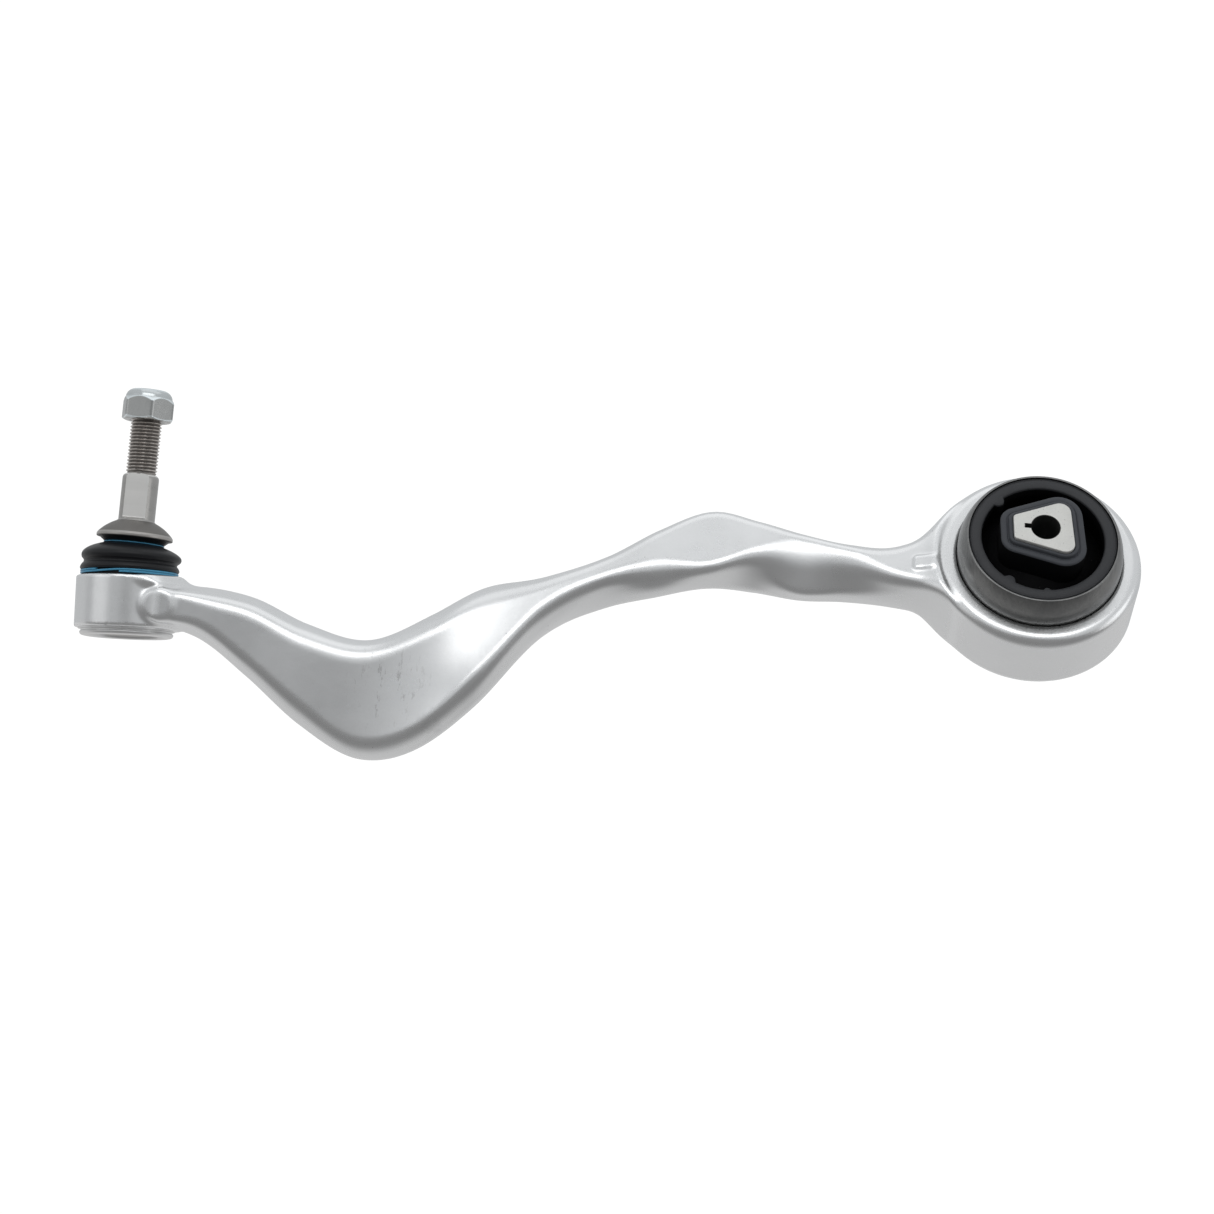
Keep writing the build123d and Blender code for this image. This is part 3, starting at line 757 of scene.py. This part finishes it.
stud_profile = [(0, -11.4), (7.2, -11.4)]
stud_profile += arc3((7.23, -11.4), (13.5, 0), (6.5, 11.83), 40)
stud_profile += arc3((6.5, 14.5), (7.6, 18.6), (11.0, 22.5), 10)
stud_profile += rounded([(11.0, 23.0, 0), (11.0, 27.7, 0.2), (16.7, 27.7, 0.35), (16.7, 29.0, 0.5), (16.3, 29.6, 0)],
                        closed=False)
dome = arc3((16.2, 29.75), (13.0, 32.7), (8.9, 35.1), 16)
stud_profile += dome + arc3((8.75, 35.2), (8.2, 35.6), (8.0, 36.05), 4)
for low, high, number in ((36.1, 37.3, 13), (38, 53.6, 14)):
    stud_profile += [(SHANK_RADIUS, h) for h in np.linspace(low, high, number)]
stud_profile += arc3((SHANK_RADIUS, 54.2), (7.72, 55.5), (6.9, 56.3), 8) + [(6.2, NECK_TOP), (0, NECK_TOP)]
grid = stud_grid(stud_profile)
stud = new_object("ball_stud_shank", stud_frame.out(grid.reshape(-1, 3)), grid_faces(*grid.shape[:2]),
    [SHANK, FLANGE, MILLED, FLANGE_RIM_HIGHLIGHT], body="stud", node="ball_stud", slot="machined_steel", crease=32)
at = places(stud.data.polygons, "center", stud_frame)
on_flange = (at[:, 2] > 22) & (at[:, 2] < 35.5)
on_flat = (at[:, 2] > 36.2) & (at[:, 2] < 56.4) & (np.abs(at[:, 1] + FLAT) < 0.03)
# the flange's rim band takes the painted highlight
on_rim = on_flange & (at[:, 2] > 28.2) & (at[:, 2] < 29.9) & (np.hypot(at[:, 0], at[:, 1]) > 15.9)
on_neck = at[:, 2] > 55.6
set_materials(stud, np.select([on_rim, on_flange, on_flat | on_neck], [3, 1, 2], 0))

PITCH, THREAD_FOOT, THREAD_TOP, THREAD_ROOT, THREAD_DEPTH = 1.5, 56.2, 93.0, 6.05, 0.85


def thread_piece():
    """The thread as a true helix, run out at its foot and chamfered at its top."""
    levels = np.arange(THREAD_FOOT, THREAD_TOP + 1e-6, PITCH / 12)
    turn = around(96)
    h, a = np.meshgrid(levels, turn, indexing="ij")
    phase = ((h - THREAD_FOOT) / PITCH - a / math.tau) % 1.0
    ridge = np.clip(1.08 - 2.5 * np.abs(phase - 0.5), 0, 1)
    r = THREAD_ROOT + THREAD_DEPTH * ridge
    r = np.minimum(r, 6.25 + np.clip(h - 56.9, 0, 9) * 1.2)
    r = np.minimum(r, 7.0 - np.clip(h - (THREAD_TOP - 1.3), 0, 9) * 0.9)
    # closed below, with a centre drilling in the top
    rings = [(0, THREAD_FOOT), *zip(r, levels), (2.3, THREAD_TOP), (0, THREAD_TOP - 2.6)]
    thread = ringed("ball_stud_thread", stud_frame, rings, turn, THREAD, closed=False, body="stud",
        node="ball_stud", slot="machined_steel", crease=60)
    local = places(thread.data.vertices, "co", stud_frame)
    crest = (np.hypot(local[:, 0], local[:, 1]) - THREAD_ROOT) / THREAD_DEPTH
    set_edge(thread, np.where(local[:, 2] > THREAD_TOP - 0.2, 1, crest))


thread_piece()


# ---- nut
NUT_APOTHEM, NUT_CORNER, NUT_TURN = 10.5, 11.9, math.radians(50.0)
NUT_BOTTOM, NUT_SHOULDER = 80.3, 88.15


def low_chamfer(r):
    """Height of the hexagon's lower end at a radius."""
    return NUT_BOTTOM + np.clip(r - 10.0, 0, 9) / 2.3 * 1.2


def high_chamfer(r):
    """Height of the hexagon's upper end at a radius."""
    return NUT_SHOULDER + (12.3 - r) * 1.25


def nut_piece():
    base = around(144) + NUT_TURN
    angles = np.sort(np.concatenate([base] + [base[::24] + d for d in (-0.012, 0.012)]))
    within = (angles - NUT_TURN + 1e-9) % (math.pi / 3) - math.pi / 6
    hexagon = np.minimum(NUT_APOTHEM / np.cos(within), NUT_CORNER)
    low, high = low_chamfer(hexagon), high_chamfer(hexagon)
    rings = [
        (7.06, 90.4), (7.06, 81.3), (7.9, 80.45), (8.2, NUT_BOTTOM), (9.85, NUT_BOTTOM),
        (np.minimum(hexagon, 10.1), 80.38), (hexagon - 0.12, low - 0.05), (hexagon, low + 0.12),
        (hexagon, low + 0.55), (hexagon, high - 0.65), (hexagon, high - 0.12), (hexagon - 0.14, high + 0.06),
        (10.36, 90.45), (10.3, 90.6), (10.27, 90.8), *arc3((10.25, 90.95), (9.6, 92.5), (8.0, 93.85), 12),
        (7.75, 93.97), (7.5, 94.0), (7.25, 93.9), (7.12, 93.6), (7.3, 93.1), (8.78, 92.98), (8.78, 90.42),
    ]
    nut = ringed("stud_nut_shell", stud_frame, rings, angles, ZINC, body="nut", node="stud_nut",
        slot="zinc_steel", crease=28)
    # painted highlight: bright where the plating would catch the light: both rims of the hexagon, and the crown a
    # little
    local = places(nut.data.vertices, "co", stud_frame)
    r = np.hypot(local[:, 0], local[:, 1])
    h = local[:, 2]
    low_rim = np.abs(h - low_chamfer(r) - 0.03) < 0.2
    high_rim = np.abs(h - high_chamfer(r) + 0.03) < 0.35
    crown = 0.55 * ((h > 90.4) & (r > 7.0))
    set_edge(nut, np.where((low_rim | high_rim) & (r > 10.45) | (h > 93.2), 1.0, crown))


nut_piece()

# ---- dust boot
BOOT_SEAM, BOOT_LOW_START, BOOT_HIGH_END = 19.0, 13.3, 24.2
outer = spline([
    (20.6, 10.75), (20.55, 11.05), (20.2, 11.3), (20.2, 12.9), (21.2, 13.15), (21.68, 13.8), (21.62, 14.5),
    (21.2, 15.4), (20.5, 16.3), (20.4, 16.9), (20.75, 17.5), (21.5, 18.2), (21.85, 19.2), (21.78, 20.0),
    (21.4, 20.8), (20.6, 21.6), (19.3, 22.5), (17.2, 23.55), (14.9, 24.4), (13.5, 24.85), (12.95, 25.1),
    (12.9, 25.7), (13.5, 26.05), (14.3, 26.7), (15.1, 27.35), (15.3, 27.6),
], 5)
inner = spline([
    (11.1, 27.6), (11.1, 25.4), (12.0, 24.35), (14.6, 23.0), (17.6, 21.6), (19.4, 20.4), (20.0, 19.4), (19.9, 18.4),
    (19.3, 17.6), (19.1, 16.9), (19.0, 16.0), (19.5, 15.0), (19.6, 14.2), (19.0, 13.5), (17.9, 12.9), (17.8, 12.0),
    (17.8, 10.55),
], 5)


def boot_points(profile):
    """The boot's own lean fades from the housing's to the stud's as it rises."""
    count = 144
    turn = around(count)
    rows = []
    for r, h in profile:
        fade = min(1.0, max(0.0, (h - 12.5) / 12.5))
        ring = np.stack([r * np.cos(turn), r * np.sin(turn), np.full(count, h)], -1)
        rows.append(leaning(LEAN * (1 - fade * fade * (3 - 2 * fade))).out(ring))
    return np.concatenate(rows), grid_faces(len(profile), count, True)


def boot_piece(name, part_outer, part_inner):
    points, faces = boot_points(part_outer + part_inner)
    obj = new_object(name, points, faces, BOOT, node="dust_boot", slot="boot_rubber", crease=55)
    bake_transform(obj)


def cut(profile, keep_low):
    """The part of an outline on one side of the seam, with an exact point on it."""
    out = []
    for a, b in zip(profile, profile[1:] + [None]):
        below = a[1] <= BOOT_SEAM
        if below == keep_low:
            out.append(a)
        if b is not None and (b[1] <= BOOT_SEAM) != below:
            t = (BOOT_SEAM - a[1]) / (b[1] - a[1])
            out.append((a[0] + t * (b[0] - a[0]), BOOT_SEAM))
    return out


boot_piece("boot_lower_fold", cut(outer, True), cut(inner, True))
boot_piece("boot_upper_fold", cut(outer, False), cut(inner, False))

# ---- blue rings
wire = [(13.0 + 0.33 * math.cos(a), 25.4 + 0.30 * math.sin(a)) for a in around(14)]
ringed("boot_upper_ring_wire", stud_frame, wire, around(160), BLUE, body="boot_neck", node="boot_upper_ring",
    slot="blue_steel")


def lower_ring():
    """A flat wire of nearly two turns: the second starts its climb over the first at 318 degrees."""
    radius = 20.92
    start, sweep, steps = math.radians(-90), math.radians(690), 300
    section = rounded([(-0.5, -0.44, 0.2), (0.5, -0.44, 0.3), (0.5, 0.44, 0.3), (-0.5, 0.44, 0.2)], steps=4)
    s = np.linspace(0, 1, steps)
    passed = np.degrees(s * sweep)
    t = np.clip((passed - 318) / 50, 0, 1)
    level = 11.62 + 0.92 * t * t * (3 - 2 * t)
    rows = []
    for a, h in zip(start + s * sweep, level):
        rows.append([((radius + dr) * math.cos(a), (radius + dr) * math.sin(a), h + dh) for dr, dh in section])
    for at, here in ((0, 0), (len(rows), -1)):
        middle = np.mean(rows[here], axis=0)
        rows.insert(at, [tuple(middle)] * len(section))
    points = housing_frame.out(np.array(rows).reshape(-1, 3))
    new_object("boot_lower_ring_coil", points, grid_faces(len(rows), len(section)), BLUE,
        body="arm", node="boot_lower_ring", slot="blue_steel", crease=50)


lower_ring()

# ---- bush
SLEEVE_OUTSIDE, SLEEVE_INSIDE, SLEEVE_RETURN = 35.64, 33.44, 31.3
sleeve_profile = rounded([
    (SLEEVE_RETURN, -26.0, 0), (34.7, -26.0, 0.5), (SLEEVE_OUTSIDE, -25.0, 0.8), (SLEEVE_OUTSIDE, -20, 0),
], closed=False)
sleeve_profile += [(SLEEVE_OUTSIDE, h) for h in (-10, 0, 6.5)]
sleeve_profile += arc3((SLEEVE_OUTSIDE, 8.0), (34.95, 15.2), (32.95, 20.6), 14)
sleeve_profile += [(32.78, 20.88), (32.6, 21.0), (32.1, 21.0), (31.95, 20.9), (31.9, 20.65)]
sleeve_profile += arc3((31.95, 20.0), (33.0, 15.2), (SLEEVE_INSIDE, 8.0), 12)
sleeve_profile += [(SLEEVE_INSIDE, -24.4), (SLEEVE_RETURN, -24.4)]
ringed("bush_sleeve_shell", bush, sleeve_profile, around(240), SLEEVE, body="arm", node="bush_sleeve",
    slot="sleeve_steel")

# small round stops inside the ring: angle in degrees and radius
NUBS = ((138, 2.7), (239, 2.5), (275, 1.5))
NUB_CIRCLE = 26.7


def paint_shade_below(obj, level):
    """Second material, a near-black painted shade, on the faces deeper in the bush than the given height."""
    set_materials(obj, places(obj.data.polygons, "center", bush)[:, 2] < level)


def rubber_ring():
    angles = around(360)
    profile = [
        (27.5, -22.6), (27.6, -24.0), (28.2, -24.4), (30.6, -24.4), (31.2, -24.0), (31.2, -10), (31.2, 13), (31.4, 17),
        (31.75, 19.4), (31.65, 20.3), (31.2, 20.72), (30.9, 20.45), (30.65, 20.5), (30.3, 20.78), (28.0, 20.75),
        (26.9, 20.6), (26.5, 20.3), (26.3, 19.7), (26.3, 15.2), (26.6, 14.4), (27.5, 13.6), (27.5, 2.0),
    ]
    dent = np.zeros_like(angles)
    for where, size in NUBS:
        offset = (np.degrees(angles) - where + 180) % 360 - 180
        reach = NUB_CIRCLE * np.sin(np.radians(offset))
        near = (np.abs(reach) < size) & (np.abs(offset) < 60)
        sag = NUB_CIRCLE * (1 - np.cos(np.radians(offset)))
        depth = np.sqrt(np.maximum(size**2 - reach**2, 0)) - 0.4 + sag
        dent = np.where(near, np.maximum(dent, depth), dent)
    rings = [(r - dent * (h > 15.0 and r < 27.0), h) for r, h in profile]
    ring = ringed("bush_ring_rubber", bush, rings, angles, [RUBBER, SHADE_RUBBER], body="arm", node="bush_rubber",
        slot="bush_rubber", crease=50)
    # painted shade on the ring's deeper faces
    paint_shade_below(ring, 18.6)


rubber_ring()

core_outline = rounded([(-13.9, 5.0, 1.8), (9.9, 15.4, 4.8), (13.3, -13.2, 4.2), (-13.1, -6.7, 1.8)], steps=16)


def polar_outline(growth, angles):
    """The core's outline, grown outwards, as a radius at each angle."""
    p = np.array(core_outline)[::-1]
    dense = []
    for a, b in zip(p, np.roll(p, -1, 0)):
        along = b - a
        length = np.linalg.norm(along)
        if length < 1e-6:
            continue
        out = np.array([along[1], -along[0]]) / length
        for t in np.linspace(0, 1, max(2, int(length * 3)), endpoint=False):
            dense.append(a + along * t + out * growth)
        dense.append(b + out * growth)
    dense = np.array(dense)
    turn = np.arctan2(dense[:, 1], dense[:, 0])
    order = np.argsort(turn)
    return np.interp(angles, turn[order], np.hypot(*dense[order].T), period=math.tau)


# bolt hole, and the key notch on its -X side: how far it reaches and half its width
BOLT_HOLE, NOTCH_REACH, NOTCH_HALF = 6.1, 8.9, 1.15


def core_piece():
    # more angles at the notch's corners
    extra = [math.pi + s * math.radians(d) for s in (-1, 1) for d in (7.36, 10.9, 7.2, 10.7)]
    angles = np.sort(np.concatenate([around(300), extra]))
    outline = polar_outline(0, angles)
    off = np.abs(angles - math.pi)
    at_end = NOTCH_REACH * np.tan(np.minimum(off, 1.5)) <= NOTCH_HALF
    notch = np.where(at_end, NOTCH_REACH / np.cos(off), NOTCH_HALF / np.maximum(np.sin(off), 1e-6))
    hole = np.where((off < math.radians(10.9)) & (notch > BOLT_HOLE), notch, BOLT_HOLE)
    front = [(hole, 27.0), (hole, 28.75), (hole + 0.28, 29.0), (outline - 0.45, 29.0), (outline - 0.1, 28.88),
             (outline, 28.6), (outline, 20.0)]
    rings = front + [(r, -h) for r, h in front[::-1]]
    core = ringed("bush_core_block", bush, rings, angles, [CORE, BORE_SHADE], body="bush_core", node="bush_core",
        slot="core_aluminium", crease=30)
    at = places(core.data.polygons, "center", bush)
    # the bolt hole and notch get the painted shade
    set_materials(core, (np.hypot(at[:, 0], at[:, 1]) < 9.0) & (np.abs(at[:, 2]) < 28.9))


core_piece()


def core_skin():
    """Rubber around the core; the shape is how far it stands off the core's outline at each height."""
    angles = around(300)
    shape = [
        (0.03, 20.0), (0.03, 27.2), (0.35, 27.75), (0.75, 27.98), (1.5, 27.95), (1.85, 27.6), (1.95, 26.9),
        (2.15, 26.35), (2.4, 26.3), (2.75, 26.6), (3.2, 26.68), (4.5, 26.6), (5.05, 26.35), (5.3, 25.8),
        (5.3, 25.3), (5.3, 15.0), (5.3, -10.0), (5.3, -23.4), (4.9, -24.0), (2.2, -24.1), (1.95, -24.6),
        (1.9, -26.0), (1.6, -26.5), (0.4, -26.5), (0.03, -26.2),
    ]
    rings = [(polar_outline(growth, angles), h) for growth, h in shape]
    skin = ringed("core_skin_rubber", bush, rings, angles, [SKIN, SHADE_RUBBER], body="bush_core", node="bush_rubber",
        slot="bush_rubber", crease=50)
    # painted shade on the skin's deeper faces
    paint_shade_below(skin, 25.6)


core_skin()


def web(name, share, near_height, far_height):
    """Half of a cone of rubber between the core's skin and the outer ring, all in near-black painted shade."""
    angles = around(180)
    core_radius = polar_outline(4.4, angles)
    steps = np.linspace(*share, 8)
    rings = []
    for up, order in ((1.0, steps), (-1.0, steps[::-1])):
        for t in order:
            rings.append((core_radius * (1 - t) + 27.9 * t, near_height * (1 - t) + far_height * t + up))
    obj = ringed(name, bush, rings, angles, SHADE_RUBBER, node="bush_rubber", slot="bush_rubber", crease=50)
    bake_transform(obj)


web("web_front_inner", (0, 0.5), 13.0, 3.5)
web("web_front_outer", (0.5, 1), 13.0, 3.5)
web("web_back_inner", (0, 0.5), -18.0, -10.5)
web("web_back_outer", (0.5, 1), -18.0, -10.5)

# ---- CAD nodes that stay as they are
for name, look in (
    ("closing_plate", INNER_STEEL), ("ball_seat", SEAT), ("nut_lock_ring", LOCK), ("rubber_cage", INNER_STEEL),
    ("fluid_channel_upper", CHANNEL), ("fluid_channel_lower", CHANNEL), ("travel_stop", CHANNEL),
):
    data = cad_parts[name].data
    data.materials.clear()
    data.materials.append(look)

# ---- stage, light and camera
FLOOR, FLOOR_HALF = -0.36, 30
SEEN_WHITE = 1.05  # what the camera sees of the floor and the backdrop

floor_mesh = bpy.data.meshes.new("floor")
square = [(-1, -1), (1, -1), (1, 1), (-1, 1)]
floor_mesh.from_pydata([(FLOOR_HALF * x, FLOOR_HALF * y, FLOOR) for x, y in square], [], [(0, 1, 2, 3)])
floor = add_object("floor", floor_mesh)


def switch_node(tree, lighting, seen):
    """One shader for what lights the scene, another for what the camera sees directly."""
    ray = add_node(tree, "LightPath")
    mix = add_node(tree, "MixShader")
    for source, target in zip((ray.outputs["Is Camera Ray"], lighting, seen), mix.inputs):
        tree.links.new(source, target)
    return mix.outputs[0]


def floor_paper():
    """White to the camera and clear from below; the light it throws up grows away from the viewer's side."""
    paper = bpy.data.materials.new("floor_paper")
    paper.use_nodes = True
    tree = paper.node_tree
    link = tree.links.new
    tree.nodes.clear()
    geometry = add_node(tree, "NewGeometry")
    spot = add_node(tree, "SeparateXYZ")
    link(geometry.outputs["Position"], spot.inputs[0])
    share = range_node(tree, spot.outputs["Y"], (-1.0, 0.5), (0.0, 1.0))
    levels = ((0.0, 0.26), (0.45, 0.24), (0.56, 0.28), (0.64, 0.45), (0.72, 0.60), (1.0, 0.64))
    glow = set_inputs(add_node(tree, "Emission"), Strength=SEEN_WHITE)
    bounce = add_node(tree, "Emission")
    link(ramp_node(tree, share, levels), bounce.inputs["Strength"])
    from_above = switch_node(tree, bounce.outputs[0], glow.outputs[0])
    surface = add_node(tree, "MixShader")
    clear = add_node(tree, "BsdfTransparent")
    for source, target in zip((geometry.outputs["Backfacing"], from_above, clear.outputs[0]), surface.inputs):
        link(source, target)
    link(surface.outputs[0], add_node(tree, "OutputMaterial").inputs["Surface"])
    return paper


floor_mesh.materials.append(floor_paper())

TARGET = (-0.2, 0, -0.05)


def soft_box(name, place, width, height, power):
    """A rectangular area light that faces the arm."""
    data = bpy.data.lights.new(name, "AREA")
    data.shape = "RECTANGLE"
    data.size = width
    data.size_y = height
    data.energy = power
    obj = add_object(name, data)
    obj.location = place
    obj.rotation_euler = (Vector(TARGET) - Vector(place)).to_track_quat("-Z", "Y").to_euler()


soft_box("front_top_box", (-0.2, -1.40, 1.05), 1.7, 0.75, 5.0)
soft_box("top_box", (-0.2, -0.1, 1.4), 1.6, 0.9, 1.5)
soft_box("left_box", (-1.35, -0.75, 0.05), 0.8, 1.0, 0.8)
soft_box("right_box", (1.3, -0.5, 0.1), 0.7, 1.0, 1.4)


def studio_world():
    """A pale room, a little brighter towards the top, with a darker wall on the viewer's side."""
    world = bpy.data.worlds.new("studio")
    world.use_nodes = True
    tree = world.node_tree
    link = tree.links.new
    tree.nodes.clear()
    direction = add_node(tree, "TexCoord").outputs["Generated"]
    split = add_node(tree, "SeparateXYZ")
    facing = add_node(tree, "VectorMath", operation="DOT_PRODUCT")
    link(direction, split.inputs[0])
    link(direction, facing.inputs[0])
    facing.inputs[1].default_value = Vector((0.13, -1, -0.12)).normalized()
    by_height = range_node(tree, split.outputs["Z"], (-0.1, 0.7), (0.56, 0.70))
    dark_wall = range_node(tree, facing.outputs["Value"], (0.93, 0.992), (1.0, 0.42),
                           interpolation_type="SMOOTHSTEP")
    level = add_node(tree, "Math", operation="MULTIPLY")
    link(by_height, level.inputs[0])
    link(dark_wall, level.inputs[1])
    room = set_inputs(add_node(tree, "Background"), Color=(0.965, 0.985, 1.0, 1))
    link(level.outputs[0], room.inputs["Strength"])
    backdrop = set_inputs(add_node(tree, "Background"), Color=(1, 1, 1, 1), Strength=SEEN_WHITE)
    both = switch_node(tree, room.outputs[0], backdrop.outputs[0])
    link(both, add_node(tree, "OutputWorld").inputs["Surface"])
    return world


scene.world = studio_world()
scene.view_settings.view_transform = "Standard"
scene.view_settings.look = "None"

camera_data = bpy.data.cameras.new("camera")
camera_data.lens = 85
camera_data.sensor_width = 36
camera_data.clip_start = 0.01
camera_data.clip_end = 100
camera = add_object("camera", camera_data)
camera.location = (-0.11593, -1.24896, -0.12398)
camera.rotation_euler = [math.radians(a) for a in (94.104, -5.275, 2.781)]
scene.camera = camera
